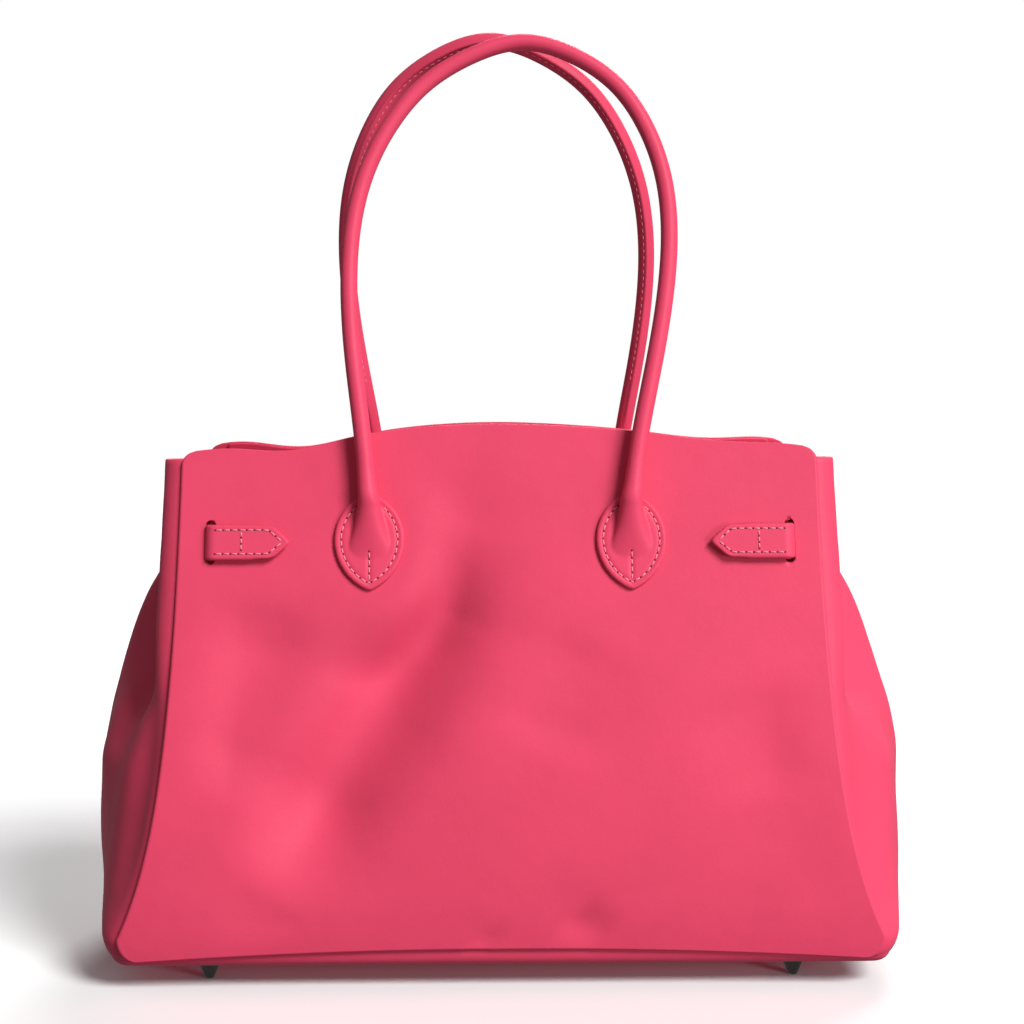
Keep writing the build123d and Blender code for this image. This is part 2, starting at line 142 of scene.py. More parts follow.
# ------------------------------------------------------------------------ the wall
def half_depth(z):
    """Outer face of a panel, from the middle of the bag."""
    z = np.asarray(z, float)
    flat = MOUTH_Y + SLOPE * (TOP_MIDDLE - z)
    upper = BELLY_Y - BELLY_R + np.sqrt(BELLY_R**2 - np.clip(z - BELLY_Z, 0, 0.2) ** 2)
    lower = BELLY_Y - UNDERCUT_R + np.sqrt(UNDERCUT_R**2 - np.clip(BELLY_Z - z, 0, 0.1) ** 2)
    return np.where(z >= KNEE_Z, flat, np.where(z >= BELLY_Z, upper, lower))


def half_width(z):
    """Side edge of a panel, from the middle of the bag."""
    z = np.asarray(z, float)
    bell = TOP_X + FLARE * np.exp(-np.clip(z - FLARE_Z, 0, 1) / FLARE_DECAY)
    drop = np.clip((FLARE_Z - z) / (FLARE_Z - PANEL_FOOT), 0, 1)
    return bell - FOOT_ROUNDING * (1 - np.sqrt(1 - drop**2))


def top_z(x, side=-1):
    """Upper edge of a panel: a soft crown between the handles and a dip at the left."""
    xs = np.array([-158, -150, -132, -105, -80, -57, -10, 50, 80, 104, 130, 150, 158]) * 1e-3
    zs = np.array([2600, 2612, 2622, 2612, 2662, 2704, 2735, 2716, 2688, 2658, 2645, 2630, 2615]) * 1e-4
    far = 0.0019 * bump(np.abs(x) - 0.146, 0.022) - 0.0006 if side > 0 else 0.0
    return spline(xs, zs, np.asarray(x, float).ravel()).reshape(np.shape(x)) + far


def foot_z(x):
    """Lower edge of both panels, arched over the base."""
    span = WIDEST - FOOT_ROUNDING
    return PANEL_FOOT + FOOT_ARCH * (1 - np.clip(np.abs(x) / span, 0, 1) ** 2)


def crease(x, z, line, width, depth):
    """A soft valley along a line of (x, z) points, fading at both its ends."""
    line = np.asarray(line, float)
    best = np.full(np.shape(x), 1e9)
    share = np.zeros(np.shape(x))
    total = np.linalg.norm(np.diff(line, axis=0), axis=1).sum()
    run = 0.0
    for a, b in zip(line, line[1:]):
        d = b - a
        length = np.linalg.norm(d)
        t = np.clip(((x - a[0]) * d[0] + (z - a[1]) * d[1]) / length**2, 0, 1)
        away = np.hypot(x - a[0] - t * d[0], z - a[1] - t * d[1])
        nearer = away < best
        best = np.where(nearer, away, best)
        share = np.where(nearer, (run + t * length) / total, share)
        run += length
    ends = smooth(share / 0.3) * smooth((1 - share) / 0.3)
    return depth * bump(best, width) * (0.15 + 0.85 * ends)


FRONT_FOLDS = (  # line of (x, z), width, depth
    (((-0.026, 0.225), (-0.036, 0.180), (-0.060, 0.132), (-0.090, 0.085), (-0.116, 0.046)), 0.026, 0.0190),
    (((-0.106, 0.190), (-0.118, 0.150), (-0.140, 0.090)), 0.024, 0.0052),
    (((0.030, 0.038), (0.050, 0.022)), 0.012, 0.0022),
    (((-0.014, 0.026), (-0.006, 0.018)), 0.010, 0.0022),
    (((0.120, 0.150), (0.135, 0.090)), 0.026, 0.0020),
    (((0.045, 0.175), (0.020, 0.110)), 0.030, 0.0018),
)
BACK_FOLDS = (
    (((0.060, 0.215), (0.040, 0.150), (0.052, 0.080)), 0.030, 0.0060),
    (((-0.080, 0.180), (-0.105, 0.110), (-0.098, 0.050)), 0.026, 0.0048),
    (((-0.010, 0.060), (0.030, 0.028)), 0.020, 0.0028),
    (((0.118, 0.130), (0.140, 0.070)), 0.022, 0.0030),
)


CALM_SPOTS = (  # middle |x|, middle z, half width, half height: nothing dents under what is sewn on
    (0.0644, 0.2165, 0.0205, 0.0285),
    (0.1240, 0.2155, 0.0260, 0.0150),
)


def dent(x, z, side):
    """How far a wall is pushed inwards from the CAD's plain shape. side is -1 at the front."""
    x, z = np.asarray(x, float), np.asarray(z, float)
    total = np.zeros(np.broadcast(x, z).shape)
    for line, width, depth in FRONT_FOLDS if side < 0 else BACK_FOLDS:
        total = total + crease(x, z, line, width, depth)
    ripple = np.sin(31 * x + 17 * z + side) * np.sin(23 * z - 9 * x + 2 * side)
    total = total + 0.0005 * ripple
    edge = smooth((half_width(z) - np.abs(x)) / 0.035) * smooth((z - PANEL_FOOT) / 0.022)
    seams = smooth((top_z(x) - z) / 0.030)
    calm = 1.0
    for cx, cz, rx, rz in CALM_SPOTS:
        away = np.hypot((np.abs(x) - cx) / rx, (z - cz) / rz)
        calm = calm * smooth((away - 1.0) / 1.5)
    return total * edge * (0.25 + 0.75 * seams) * calm


def wall_y(x, z, depth, side):
    """A point's Y on a wall layer: depth metres under the outer face, front or back."""
    return side * (half_depth(z) - depth / SLANT - dent(x, z, side))


# -------------------------------------------------------------------- mesh helpers
def new_object(name, verts, faces, smooth_shade=True):
    mesh = bpy.data.meshes.new(name)
    mesh.from_pydata([tuple(map(float, v)) for v in verts], [], [list(map(int, f)) for f in faces])
    mesh.validate()
    obj = bpy.data.objects.new(name, mesh)
    bpy.context.scene.collection.objects.link(obj)
    if smooth_shade:
        mesh.polygons.foreach_set("use_smooth", [True] * len(mesh.polygons))
    return obj


def recalc(obj):
    """Outward normals on a closed mesh."""
    bm = bmesh.new()
    bm.from_mesh(obj.data)
    bmesh.ops.recalc_face_normals(bm, faces=bm.faces)
    bm.to_mesh(obj.data)
    bm.free()
    return obj


def grid_normals(p):
    """Unit normals of an (n, m, 3) grid of points."""
    du = np.gradient(p, axis=0)
    dv = np.gradient(p, axis=1)
    n = np.cross(du, dv)
    return n / np.maximum(np.linalg.norm(n, axis=2, keepdims=True), 1e-12)


def sheet_shell(name, outer, thickness, flip=False, rounding=0.45):
    """A closed sheet of leather under a grid of points, with rounded edges all round.

    The rim goes through rings that turn from the outer face to the inner one."""
    n, m = outer.shape[:2]
    normal = grid_normals(outer)
    if flip:
        normal = -normal
    inner = outer - normal * thickness
    verts = list(outer.reshape(-1, 3)) + list(inner.reshape(-1, 3))
    faces = []

    def at(i, j, layer):
        return layer * n * m + i * m + j

    for i in range(n - 1):
        for j in range(m - 1):
            faces.append((at(i, j, 0), at(i, j + 1, 0), at(i + 1, j + 1, 0), at(i + 1, j, 0)))
            faces.append((at(i, j, 1), at(i + 1, j, 1), at(i + 1, j + 1, 1), at(i, j + 1, 1)))
    ring = [(i, 0) for i in range(n)] + [(n - 1, j) for j in range(1, m)]
    ring += [(i, m - 1) for i in range(n - 2, -1, -1)] + [(0, j) for j in range(m - 2, 0, -1)]
    rims = []
    for k in (0.25, 0.5, 0.75):
        row = []
        swell = rounding * thickness * math.sin(math.pi * k)
        for i, j in ring:
            ii, jj = min(max(i, 1), n - 2), min(max(j, 1), m - 2)
            away = outer[i, j] - outer[ii, jj]
            length = np.linalg.norm(away)
            away = away / length if length > 1e-9 else away
            verts.append(outer[i, j] * (1 - k) + inner[i, j] * k + away * swell)
            row.append(len(verts) - 1)
        rims.append(row)
    loops = [[at(i, j, 0) for i, j in ring]] + rims + [[at(i, j, 1) for i, j in ring]]
    for a, b in zip(loops, loops[1:]):
        for k in range(len(ring)):
            q = (k + 1) % len(ring)
            faces.append((a[k], a[q], b[q], b[k]))
    return recalc(new_object(name, verts, faces))


# ----------------------------------------------------------------------- materials
def material(name):
    mat = bpy.data.materials.new(name)
    mat.use_nodes = True
    nodes, links = mat.node_tree.nodes, mat.node_tree.links
    nodes.clear()
    out = nodes.new("ShaderNodeOutputMaterial")
    shader = nodes.new("ShaderNodeBsdfPrincipled")
    links.new(shader.outputs["BSDF"], out.inputs["Surface"])
    return mat, nodes, links, shader


def object_noise(nodes, links, scale, detail=2.0, roughness=0.5, kind="noise"):
    place = nodes.new("ShaderNodeTexCoord")
    if kind == "voronoi":
        tex = nodes.new("ShaderNodeTexVoronoi")
        tex.feature = "F1"
    else:
        tex = nodes.new("ShaderNodeTexNoise")
        tex.inputs["Detail"].default_value = detail
        tex.inputs["Roughness"].default_value = roughness
    tex.inputs["Scale"].default_value = scale
    links.new(place.outputs["Object"], tex.inputs["Vector"])
    return tex


def ramp(nodes, links, source, stops):
    node = nodes.new("ShaderNodeValToRGB")
    elements = node.color_ramp.elements
    while len(elements) < len(stops):
        elements.new(0.5)
    for element, (place, colour) in zip(elements, stops):
        element.position = place
        element.color = (*colour, 1)
    links.new(source, node.inputs["Fac"])
    return node


def leather(name, colour, roughness=0.47, grain=0.10, sheen=0.02, coat=0.0):
    """Smooth calf leather: fine pebbled grain, faint pores, mottled dye and worn sheen."""
    mat, nodes, links, shader = material(name)
    base = np.array(colour)
    mottle = object_noise(nodes, links, 26.0, 4.0, 0.55)
    shades = ((0.32, base * 0.955), (0.68, np.minimum(base * 1.03, 1)))
    tint = ramp(nodes, links, mottle.outputs["Fac"], shades)
    links.new(tint.outputs["Color"], shader.inputs["Base Color"])
    gloss = object_noise(nodes, links, 90.0, 3.0, 0.6)
    rough = nodes.new("ShaderNodeMapRange")
    rough.inputs["To Min"].default_value = roughness - 0.05
    rough.inputs["To Max"].default_value = roughness + 0.06
    links.new(gloss.outputs["Fac"], rough.inputs["Value"])
    links.new(rough.outputs["Result"], shader.inputs["Roughness"])
    pebbles = object_noise(nodes, links, 1500.0, kind="voronoi")
    pores = object_noise(nodes, links, 2600.0, 2.0, 0.6)
    lumps = object_noise(nodes, links, 130.0, 3.0, 0.5)
    fine = nodes.new("ShaderNodeBump")
    fine.inputs["Strength"].default_value = grain
    fine.inputs["Distance"].default_value = 0.0003
    links.new(pebbles.outputs["Distance"], fine.inputs["Height"])
    pore = nodes.new("ShaderNodeBump")
    pore.inputs["Strength"].default_value = grain * 0.8
    pore.inputs["Distance"].default_value = 0.0002
    links.new(pores.outputs["Fac"], pore.inputs["Height"])
    links.new(fine.outputs["Normal"], pore.inputs["Normal"])
    broad = nodes.new("ShaderNodeBump")
    broad.inputs["Strength"].default_value = 0.10
    broad.inputs["Distance"].default_value = 0.0012
    links.new(lumps.outputs["Fac"], broad.inputs["Height"])
    links.new(pore.outputs["Normal"], broad.inputs["Normal"])
    links.new(broad.outputs["Normal"], shader.inputs["Normal"])
    shader.inputs["Sheen Weight"].default_value = sheen
    shader.inputs["Sheen Roughness"].default_value = 0.45
    shader.inputs["Specular IOR Level"].default_value = 0.16
    shader.inputs["Coat Weight"].default_value = coat
    return mat


PINK = (0.700, 0.056, 0.122)
skin = leather("pink_calf", PINK)
thread_mat, thread_nodes, thread_links, thread_shader = material("pale_thread")
twist = object_noise(thread_nodes, thread_links, 3000.0, 2.0)
thread_tint = ramp(
    thread_nodes,
    thread_links,
    twist.outputs["Fac"],
    ((0.3, (0.80, 0.16, 0.24)), (0.7, (0.92, 0.27, 0.36))),
)
thread_links.new(thread_tint.outputs["Color"], thread_shader.inputs["Base Color"])
thread_shader.inputs["Roughness"].default_value = 0.55
thread_shader.inputs["Sheen Weight"].default_value = 0.3

# painted shade: a near-black material that stands for the shade inside the needle holes, put on flush discs
hole_shade_mat, hole_shade_nodes, hole_shade_links, hole_shade_bsdf = material("needle_hole_painted_shade")
hole_shade_tone = object_noise(hole_shade_nodes, hole_shade_links, 800.0)
hole_shade_tint = ramp(
    hole_shade_nodes,
    hole_shade_links,
    hole_shade_tone.outputs["Fac"],
    ((0.3, (0.10, 0.004, 0.012)), (0.7, (0.16, 0.008, 0.022))),
)
hole_shade_links.new(hole_shade_tint.outputs["Color"], hole_shade_bsdf.inputs["Base Color"])
hole_shade_bsdf.inputs["Roughness"].default_value = 0.8

suede = leather("lining_suede", (0.62, 0.060, 0.115), roughness=0.78, grain=0.25, sheen=0.25)
edge_mat = leather("inside_leather", (0.700, 0.046, 0.105), roughness=0.52, grain=0.10)

metal, metal_nodes, metal_links, metal_shader = material("dark_studs")
scratch = object_noise(metal_nodes, metal_links, 700.0, 4.0, 0.7)
metal_tint = ramp(
    metal_nodes, metal_links, scratch.outputs["Fac"], ((0.3, (0.09, 0.075, 0.07)), (0.7, (0.16, 0.14, 0.13)))
)
metal_links.new(metal_tint.outputs["Color"], metal_shader.inputs["Base Color"])
metal_shader.inputs["Metallic"].default_value = 1.0
metal_rough = metal_nodes.new("ShaderNodeMapRange")
metal_rough.inputs["To Min"].default_value = 0.22
metal_rough.inputs["To Max"].default_value = 0.42
metal_links.new(scratch.outputs["Fac"], metal_rough.inputs["Value"])
metal_links.new(metal_rough.outputs["Result"], metal_shader.inputs["Roughness"])

board_mat, board_nodes, board_links, board_shader = material("grey_board")
fibre = object_noise(board_nodes, board_links, 300.0, 5.0, 0.7)
board_tint = ramp(
    board_nodes, board_links, fibre.outputs["Fac"], ((0.3, (0.40, 0.36, 0.30)), (0.7, (0.55, 0.50, 0.42)))
)
board_links.new(board_tint.outputs["Color"], board_shader.inputs["Base Color"])
board_shader.inputs["Roughness"].default_value = 0.85


def paint(obj, mat):
    obj.data.materials.clear()
    obj.data.materials.append(mat)


# ------------------------------------------------------------------------- panels
CORNER_R = 0.0060
CORNER_Z = panel_high.z - 0.0145  # the panels' upper corners
RIM = 0.45 * LEATHER  # how far a shell's rounded rim stands past its grid
STRAP_X = 0.1426
STRAP_Z = 0.2155
SLOT_LENGTH = 0.0215
SLOT_WIDTH = 0.0050


def spaced(count, ends):
    """0 to 1 in count steps, closer together near both ends."""
    t = np.linspace(0, 1, count)
    return t - ends * np.sin(2 * math.pi * t) / (2 * math.pi)


def wall_grid(side, depth, inset, columns=170, rows=120, low=None, high_drop=0.0, half=None):
    """Points on a wall layer. inset is from the panel's edge, high_drop from its top."""
    v = spaced(rows, 0.75)[:, None]
    u = (2 * spaced(columns, 0.6) - 1)[None, :]
    nominal = PANEL_FOOT + v * (CORNER_Z + 0.002 - PANEL_FOOT)
    wide = half_width(nominal) - inset
    corner = np.clip((nominal - (CORNER_Z + 0.002 - CORNER_R)) / CORNER_R, 0, 1)
    if inset < 0.004:
        wide = wide - CORNER_R * (1 - np.sqrt(1 - corner**2))
    if half is not None:
        wide = np.minimum(wide, half)
    x = u * wide
    bottom = foot_z(x) + RIM if low is None else np.full_like(x, low)
    top = top_z(x, side) - high_drop - RIM
    z = bottom + v * (top - bottom)
    y = wall_y(x, z, depth, side)
    return np.stack([x, y, z], 2)


def prism(name, outlines, y_from, y_to):
    """Solids standing along Y over outlines of (x, z) points, to cut holes with."""
    verts, faces = [], []
    for outline in outlines:
        start, n = len(verts), len(outline)
        for y in (y_from, y_to):
            verts += [(px, y, pz) for px, pz in outline]
        faces += [(start + k, start + (k + 1) % n, start + n + (k + 1) % n, start + n + k) for k in range(n)]
        faces.append(tuple(range(start + n - 1, start - 1, -1)))
        faces.append(tuple(range(start + n, start + 2 * n)))
    return recalc(new_object(name, verts, faces, smooth_shade=False))


def stadium(cx, cz, length, width, count=24):
    """An upright round-ended slot's outline."""
    points = []
    for k in range(count):
        a = 2 * math.pi * (k + 0.5) / count
        end = math.copysign(0.5 * (length - width), math.sin(a))
        points.append((cx + 0.5 * width * math.cos(a), cz + 0.5 * width * math.sin(a) + end))
    return points


def apply_modifiers(obj):
    """Bakes an object's modifiers into its mesh."""
    bpy.context.view_layer.update()
    evaluated = obj.evaluated_get(bpy.context.evaluated_depsgraph_get())
    mesh = bpy.data.meshes.new_from_object(evaluated)
    obj.modifiers.clear()
    old = obj.data
    obj.data = mesh
    bpy.data.meshes.remove(old)
    return obj


def cut(obj, cutter):
    boolean = obj.modifiers.new("cut", "BOOLEAN")
    boolean.operation = "DIFFERENCE"
    boolean.solver = "EXACT"
    boolean.object = cutter
    return apply_modifiers(obj)


def fitted(obj, mat, slot_name, body, *nodes):
    """Gives a piece its material, its body and the CAD nodes that it stands for."""
    paint(obj, mat)
    if body:
        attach(obj, body)
    if nodes:
        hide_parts(*nodes)
    return obj


SLOTS = [stadium(x, STRAP_Z, SLOT_LENGTH, SLOT_WIDTH) for x in (-STRAP_X, STRAP_X)]


def make_walls():
    for side, name in ((-1, "front"), (1, "back")):
        flip = side < 0
        knife = prism("knife", SLOTS, min(0.040 * side, 0.075 * side), max(0.040 * side, 0.075 * side))
        panel = sheet_shell(f"{name}_panel_leather", wall_grid(side, 0.0, RIM), LEATHER, flip=flip)
        fitted(cut(panel, knife), skin, "leather", "bag", f"{name}_panel")
        grid = wall_grid(side, 0.0036, 0.012, 110, 80, low=lining_low.z, high_drop=0.0200)
        cloth = sheet_shell(f"{name}_wall_lining", grid, CLOTH, flip=flip)
        fitted(cut(cloth, knife), suede, "lining", "bag", f"{name}_lining")
        bpy.data.objects.remove(knife)
        grid = wall_grid(side, 0.0023, 0.003, 110, 14, low=0.2512, high_drop=0.0012, half=0.1465)
        band = sheet_shell(f"{name}_mouth_facing", grid, 0.0012, flip=flip)
        fitted(band, edge_mat, "leather", "bag", f"{name}_facing")


make_walls()

# ------------------------------------------------------------------------ gussets
GUSSET_ROWS = (  # height, belly half width, roll, valley depth share, squareness
    (0.0140, 0.1915, 0.0020, 0.00, 1.00),
    (0.0180, 0.1948, 0.0023, 0.00, 0.90),
    (0.0250, 0.1995, 0.0027, 0.00, 0.70),
    (0.0370, 0.2053, 0.0035, 0.00, 0.35),
    (0.0580, 0.2085, 0.0045, 0.00, 0.08),
    (0.0750, 0.2088, 0.0050, 0.00, 0.00),
    (0.1060, 0.2078, 0.0060, 0.00, 0.00),
    (0.1300, 0.2030, 0.0070, 0.12, 0.00),
    (0.1500, 0.1970, 0.0085, 0.47, 0.00),
    (0.1700, 0.1895, 0.0090, 0.77, 0.00),
    (0.1880, 0.1815, 0.0090, 0.95, 0.00),
    (0.2020, 0.1725, 0.0090, 1.00, 0.00),
    (0.2200, 0.1660, 0.0088, 1.00, 0.00),
    (0.2580, 0.1620, 0.0085, 1.00, 0.00),
)
TUCK = 0.009
VALLEY_X = 0.1365


def gusset_rows(heights):
    """The table's values at each height, smoothed but exact at both ends."""
    table = np.array(GUSSET_ROWS)
    values = np.stack([np.interp(heights, table[:, 0], table[:, k]) for k in range(1, 5)], 1)
    kernel = np.exp(-(((heights[:, None] - heights[None, :]) / 0.006) ** 2))
    kernel /= kernel.sum(1, keepdims=True)
    ends = smooth(np.minimum(heights - heights[0], heights[-1] - heights) / 0.012)[:, None]
    return values * (1 - ends) + (kernel @ values) * ends


def gusset_middle(z, values):
    """Plan view of a gusset at one height: front edge, round the belly, back edge."""
    belly, roll, valley, square = values
    edge = float(half_width(z))
    out = belly - edge
    b = float(half_depth(z)) - LEATHER - 0.0006 - GUSSET_LEATHER / 2
    full = ((edge + roll, b - 0.005), (edge + 0.42 * out, 0.80 * b), (edge + 0.66 * out, 0.62 * b),
            (edge + 0.88 * out, 0.36 * b))
    boxy = ((edge + 0.50 * out, 0.955 * b), (edge + 0.80 * out, 0.85 * b), (edge + 0.94 * out, 0.62 * b),
            (edge + 0.99 * out, 0.36 * b))
    folded = ((edge + roll, b - 0.006), (edge - 0.002, b - 0.0135), (VALLEY_X, b - 0.021),
              (0.45 * VALLEY_X + 0.55 * belly - 0.003, 0.28 * b))
    side = np.array(full) * (1 - square) + np.array(boxy) * square
    side = side * (1 - valley) + np.array(folded) * valley
    half = [(edge - TUCK, b), (edge + 0.25 * roll, b)] + [tuple(p) for p in side]
    return [(x, -y) for x, y in half] + [(belly, 0.0)] + [(x, y) for x, y in half[::-1]]


def gusset_grid(sign, low, high, offset, columns=150, rows=120):
    """Points on a gusset layer, offset metres outwards from the middle of its leather."""
    heights = np.linspace(low, high, rows)
    out = np.zeros((rows, columns, 3))
    for i, (z, values) in enumerate(zip(heights, gusset_rows(heights))):
        out[i, :, :2] = along(gusset_middle(z, values), columns)
        out[i, :, 2] = z
    share = np.linspace(-1, 1, columns)[None, :]
    z = out[:, :, 2]
    middle = smooth((1 - np.abs(share)) / 0.25)
    low_part = smooth((z - 0.016) / 0.03) * smooth((0.185 - z) / 0.05)
    gathers = np.sin(15.0 * share + 1.3 * sign + 9 * z) * bump(z - 0.118, 0.030)
    sag = np.sin(7.0 * share - 0.8 * sign) * bump(z - 0.070, 0.035)
    pull = 0.0030 * bump(np.abs(share) - 0.52, 0.16) * bump(z - 0.150, 0.030)
    lift = (0.0012 * gathers + 0.0012 * sag - 0.0020) * middle * low_part - pull * middle
    out = out - grid_normals(out) * (offset + lift)[..., None]  # the grid's normals point inwards
    out[:, :, 0] *= sign
    out[:, :, 2] = np.clip(out[:, :, 2], low, high)
    return out


def make_gussets():
    for sign, name in ((-1, "left"), (1, "right")):
        low, high = STRAP_Z - SLOT_LENGTH / 2, STRAP_Z + SLOT_LENGTH / 2
        near, far = sign * (STRAP_X - 0.0022), sign * (STRAP_X + 0.0034)
        near, far = min(near, far), max(near, far)
        outline = [(near, low), (far, low), (far, high), (near, high)]
        grid = gusset_grid(sign, PANEL_FOOT + RIM, gusset_high.z - 0.0026, GUSSET_LEATHER / 2)
        gusset = sheet_shell(f"{name}_gusset_leather", grid, GUSSET_LEATHER, flip=sign > 0)
        grid = gusset_grid(sign, lining_low.z, lining_high.z - 0.004, -0.0016, 110, 90)
        cloth = sheet_shell(f"{name}_gusset_lining", grid, CLOTH, flip=sign > 0)
        for y_from, y_to in ((-0.064, -0.030), (0.030, 0.064)):
            knife = prism("knife", [outline], y_from, y_to)
            cut(gusset, knife)
            cut(cloth, knife)
            bpy.data.objects.remove(knife)
        fitted(gusset, skin, "leather", "bag", f"{name}_gusset")
        fitted(cloth, suede, "lining", "bag", f"{name}_lining")


make_gussets()

# --------------------------------------------------------------------- side straps
STRAP_WIDE = 0.0174
STRAP_THICK = 0.0022
TAB_LENGTH = 0.0390
TAB_POINT = 0.0090
TAB_LIFT = 0.0013  # middle of the tab's leather above the panel's face
UP_THE_FACE = np.array([0.0, SLOPE * SLANT, SLANT])


def rounded_line(points, radii, step=0.0007):
    """An evenly sampled line through points, its corners rounded as quadratic curves."""
    points = [np.asarray(q, float) for q in points]
    line = [points[0]]
    for a, b, c, r in zip(points, points[1:], points[2:], radii):
        before, after = b + (a - b) / np.linalg.norm(a - b) * r, b + (c - b) / np.linalg.norm(c - b) * r
        for t in np.linspace(0, 1, 9):
            line.append(before * (1 - t) ** 2 + b * 2 * t * (1 - t) + after * t**2)
    line.append(points[-1])
    line = np.array(line)
    run = np.concatenate([[0], np.cumsum(np.linalg.norm(np.diff(line, axis=0), axis=1))])
    want = np.arange(0, run[-1], step)
    return np.stack([np.interp(want, run, line[:, k]) for k in range(line.shape[1])], 1)


def strap_plan():
    """Plan view of the left strap's middle line, from the front tab to the gusset's middle."""
    face = -float(half_depth(STRAP_Z)) - TAB_LIFT / SLANT
    points = (
        (-STRAP_X + TAB_LENGTH, face),
        (-STRAP_X + 0.0007, face),
        (-STRAP_X + 0.0007, -0.040),
        (-0.1625, -0.0165),
        (-0.1708, 0.0),
    )
    return rounded_line(points, (0.0022, 0.004, 0.004))


def strap_grid(sign):
    """Points on a strap's outer face: rows follow the strap, columns go across it."""
    front = strap_plan()
    plan = np.concatenate([front, front[-2::-1] * [1, -1]])
    run = np.concatenate([[0], np.cumsum(np.linalg.norm(np.diff(plan, axis=0), axis=1))])
    d = np.gradient(plan, run, axis=0)
    d /= np.linalg.norm(d, axis=1, keepdims=True)
    normal = np.stack([-d[:, 1], d[:, 0]], 1)
    across = np.linspace(-1, 1, 25) * (STRAP_WIDE / 2 - 0.0009)
    total = run[-1]
    grid = []
    middle_rows = run[(run > 0.020) & (run < total - 0.020)]
    tip_rows = np.linspace(0, 1, 26)
    for j, t in enumerate(across):
        share = abs(t) / (STRAP_WIDE / 2 - 0.0009)
        soft = math.sqrt(share**2 + 0.02) - math.sqrt(0.02)
        shoulder = 0.0014 * (1 - math.sqrt(max(0.0, 1 - max(0.0, (share - 0.82) / 0.18) ** 2)))
        start = 0.0009 + TAB_POINT * soft + shoulder
        first = start + tip_rows * (0.020 - start)
        last = total - first[::-1]
        s_values = np.concatenate([first[:-1], middle_rows, last[1:]])
        x, y = np.interp(s_values, run, plan[:, 0]), np.interp(s_values, run, plan[:, 1])
        nx, ny = np.interp(s_values, run, normal[:, 0]), np.interp(s_values, run, normal[:, 1])
        inside = smooth((np.minimum(s_values, total - s_values) - TAB_LENGTH - 0.004) / 0.020)
        facing = np.sign(y + 1e-9) * -1
        lean_y = UP_THE_FACE[1] * facing * (1 - inside)
        up_z = UP_THE_FACE[2] * (1 - inside) + inside
        lift_x, lift_y = nx * STRAP_THICK / 2, ny * STRAP_THICK / 2
        out = np.stack([x + lift_x, y + lift_y + t * lean_y, STRAP_Z + t * up_z], 1)
        out[:, 0] *= sign * -1
        grid.append(out)
    return np.stack(grid, 1)


def make_straps():
    made = {}
    for sign, name in ((-1, "left"), (1, "right")):
        strap = sheet_shell(f"{name}_strap_leather", strap_grid(sign), STRAP_THICK, flip=sign > 0)
        made[name] = fitted(strap, skin, "leather", "bag", f"{name}_strap")
    return made


straps = make_straps()

# ------------------------------------------------------------------------- handles
PAD_X = 0.0644
PAD_Z = 0.2165
PAD_HALF = 0.0173
PAD_UP = 0.0235
PAD_DOWN = 0.0255
PAD_THICK = 0.0023
TUBE_R = 0.0043
SEAM_INSET = 0.0034  # a pad's stitches, from its edge
UNDER_TUBE = 0.0062  # no stitches nearer than this to a pad's middle line, where the tube covers it
ROOT_Y = 0.063
LEAN_IN = 0.2435  # how far a handle leans in per height
LEG_SHAPE = (  # height and half distance between the legs of the front handle
    (0.2350, 0.0646),
    (0.2550, 0.0668),
    (0.2750, 0.0698),
    (0.3050, 0.0750),
    (0.3350, 0.0790),
    (0.3660, 0.0802),
    (0.3970, 0.0761),
    (0.4280, 0.0633),
    (0.4450, 0.0505),
    (0.4615, 0.0270),
)
FRONT_TOP = 0.469
HANDLES = {"front": (-1, 0.469, 0.013, 1.4), "back": (1, 0.472, -0.004, 2.5)}  # side, top, lean, power
STUB = (  # height, half width, half depth, distance of the middle from the face
    (0.1980, 0.0060, 0.0003, 0.0008),
    (0.2040, 0.0095, 0.0008, 0.0010),
    (0.2100, 0.0110, 0.0018, 0.0013),
    (0.2170, 0.0094, 0.0032, 0.0022),
    (0.2250, 0.0072, 0.0044, 0.0038),
    (0.2330, 0.0058, 0.0048, 0.0062),
    (0.2400, 0.0051, 0.0049, 0.0084),
    (0.2480, 0.0046, 0.0046, 0.0110),
    (0.2560, 0.0043, 0.0043, 0.0136),
)


def handle_line(which, count=900):
    """Evenly spaced points on a handle's middle line, left root to right root."""
    side, top, lean, power = HANDLES[which]
    stretch = (top - ROOT_Z) / (FRONT_TOP - ROOT_Z)

    def point(leg, height, half):
        share = max(0.0, (height - ROOT_Z) / (FRONT_TOP - ROOT_Z))
        rise = stretch * (height - ROOT_Z)
        return (leg * half + lean * share**power, side * (ROOT_Y - LEAN_IN * rise), ROOT_Z + rise)

    left = [point(-1, height, half) for height, half in LEG_SHAPE]
    right = [point(1, height, half) for height, half in reversed(LEG_SHAPE)]
    return along(left + [point(0, FRONT_TOP, 0)] + right, count)


def line_frames(line, side):
    """Unit vectors at each point: along the tube, across it towards the other handle, and sideways."""
    t = np.gradient(line, axis=0)
    t /= np.linalg.norm(t, axis=1, keepdims=True)
    inward = np.array([0.0, -side, -LEAN_IN])[None, :]
    seam = inward - (inward * t).sum(1, keepdims=True) * t
    seam /= np.linalg.norm(seam, axis=1, keepdims=True)
    return t, seam, np.cross(t, seam)


def ring_faces(rings, ring):
    """Faces of a closed tube made of rings of ring points each, with a cap at both ends."""
    faces = []
    for i in range(rings - 1):
        for k in range(ring):
            q = (k + 1) % ring
            faces.append((i * ring + k, i * ring + q, (i + 1) * ring + q, (i + 1) * ring + k))
    faces.append(tuple(range(ring - 1, -1, -1)))
    faces.append(tuple(range((rings - 1) * ring, rings * ring)))
    return faces


